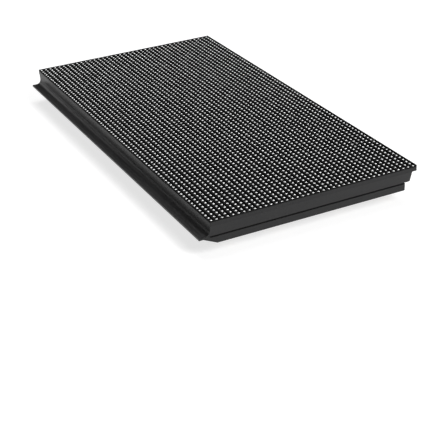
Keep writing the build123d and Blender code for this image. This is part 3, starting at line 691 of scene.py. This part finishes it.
# A web's section, as x and z in mm: from the lip across the channel to the side of the shell
WEB_PROFILE = [(-79.6, 2.5), (-74.4, 0.1), (-73.6, 0.1), (-78.6, 4.6), (-80.3, 6.4), (-84.4, 4.8)]
WEB_INNER, WEB_OUTER = 157.1 * MM, 158.1 * MM

rib_plan = [(RIB_FROM, -1), (RIB_TO, -1), (RIB_TO, 1), (RIB_FROM, 1)]
rib = [(x, side * RIB_HALF * RIB_TAPER, LIP_REAR - RIB_DEPTH) for x, side in rib_plan]
rib += [(x, side * RIB_HALF, LIP_REAR + RIB_SINK) for x, side in rib_plan]
rib_spots = np.zeros((RIB_COUNT, 3))
rib_spots[:, 1] = (np.arange(RIB_COUNT) + 1) * PITCH - HALF_LENGTH
hatch = Shell()
hatch.add(repeat(np.array(rib), rib_spots), quads=repeat_faces(box_quads(), RIB_COUNT, len(rib)))
place("lip_hatch", hatch, shell_plastic)

webs = Shell()
web = np.array(WEB_PROFILE) * MM
for start, end in ((-WEB_OUTER, -WEB_INNER), (WEB_INNER, WEB_OUTER)):
    bar(webs, [(start, web), (end, web)])
place("channel_end_webs", webs, shell_plastic)


# Floor and room

FLOOR_REACH = 6.0
FLOOR_GREY, FLOOR_GLOW = 0.35, 0.74
ROOM_DIM, ROOM_BRIGHT = 0.08, 0.6
ROOM_TURN = 0.8

floor_mesh = bpy.data.meshes.new("floor")
floor_corners = square(FLOOR_REACH, FLOOR_REACH, cad_low[2])
floor_mesh.from_pydata(floor_corners.tolist(), [], [(0, 1, 2, 3)])
floor = bpy.data.objects.new("floor", floor_mesh)
bpy.context.scene.collection.objects.link(floor)

paper = bpy.data.materials.new("paper_floor")
paper.use_nodes = True
paper_tree = paper.node_tree
paper_shader = paper_tree.nodes["Principled BSDF"]
paper_shader.inputs["Base Color"].default_value = (FLOOR_GREY, FLOOR_GREY, FLOOR_GREY, 1)
paper_shader.inputs["Roughness"].default_value = 0.9
paper_shader.inputs["Specular IOR Level"].default_value = 0.1
paper_shader.inputs["Emission Color"].default_value = (1, 1, 1, 1)
# The paper glows for what looks at it, straight or in a reflection, and lights nothing
rays = paper_tree.nodes.new("ShaderNodeLightPath")
seen = rays.outputs["Is Camera Ray"]
for kind in ("Is Glossy Ray", "Is Transmission Ray"):
    either = paper_tree.nodes.new("ShaderNodeMath")
    either.operation = "MAXIMUM"
    paper_tree.links.new(seen, either.inputs[0])
    paper_tree.links.new(rays.outputs[kind], either.inputs[1])
    seen = either.outputs[0]
glow = paper_tree.nodes.new("ShaderNodeMath")
glow.operation = "MULTIPLY"
glow.inputs[1].default_value = FLOOR_GLOW
paper_tree.links.new(seen, glow.inputs[0])
paper_tree.links.new(glow.outputs[0], paper_shader.inputs["Emission Strength"])
floor_mesh.materials.append(paper)

# The room is bright on the +X side and dim on the other, by how far a direction points that way
world = bpy.data.worlds.new("studio")
bpy.context.scene.world = world
world.use_nodes = True
sky = world.node_tree
directions = sky.nodes.new("ShaderNodeTexCoord")
toward = sky.nodes.new("ShaderNodeVectorMath")
toward.operation = "DOT_PRODUCT"
toward.inputs[1].default_value = (1.0, 0.0, 0.0)
sky.links.new(directions.outputs["Generated"], toward.inputs[0])
strength = map_range(sky, toward.outputs["Value"], (-ROOM_TURN, ROOM_TURN), (ROOM_DIM, ROOM_BRIGHT))
sky.links.new(strength, sky.nodes["Background"].inputs["Strength"])


# Lights and camera

def panel(name, spot, aim, size, power):
    """A square soft light at spot that faces aim."""
    light = bpy.data.lights.new(name, "AREA")
    light.shape = "SQUARE"
    light.size = size
    light.energy = power
    lamp = bpy.data.objects.new(name, light)
    lamp.location = spot
    lamp.rotation_euler = (Vector(aim) - Vector(spot)).to_track_quat("-Z", "Y").to_euler()
    bpy.context.scene.collection.objects.link(lamp)


panel("key_light", (0.8, -1.6, 1.5), (0, 0, 0), 1.1, 50.0)
panel("side_light", (-0.2, 0.5, 0.1), (-0.08, 0.16, 0.0), 0.15, 0.14)
panel("top_light", (0.25, 0.5, 1.7), (0, 0.05, 0), 1.2, 24.0)

CAMERA_SPOT = (-0.37207, -0.76562, 0.37292)
view_right = Vector((0.88663, -0.461327, -0.03283)).normalized()
view_forward = Vector((0.39398, 0.79054, -0.46886)).normalized()
view_up = view_right.cross(view_forward).normalized()
camera_data = bpy.data.cameras.new("photo_view")
camera_data.sensor_width = 36.0
camera_data.lens = 96.51
camera = bpy.data.objects.new("photo_view", camera_data)
turn = Matrix((view_right, view_up, -view_forward)).transposed()
camera.matrix_world = Matrix.Translation(CAMERA_SPOT) @ turn.to_4x4()
bpy.context.scene.collection.objects.link(camera)
bpy.context.scene.camera = camera
bpy.context.scene.view_settings.view_transform = "Standard"
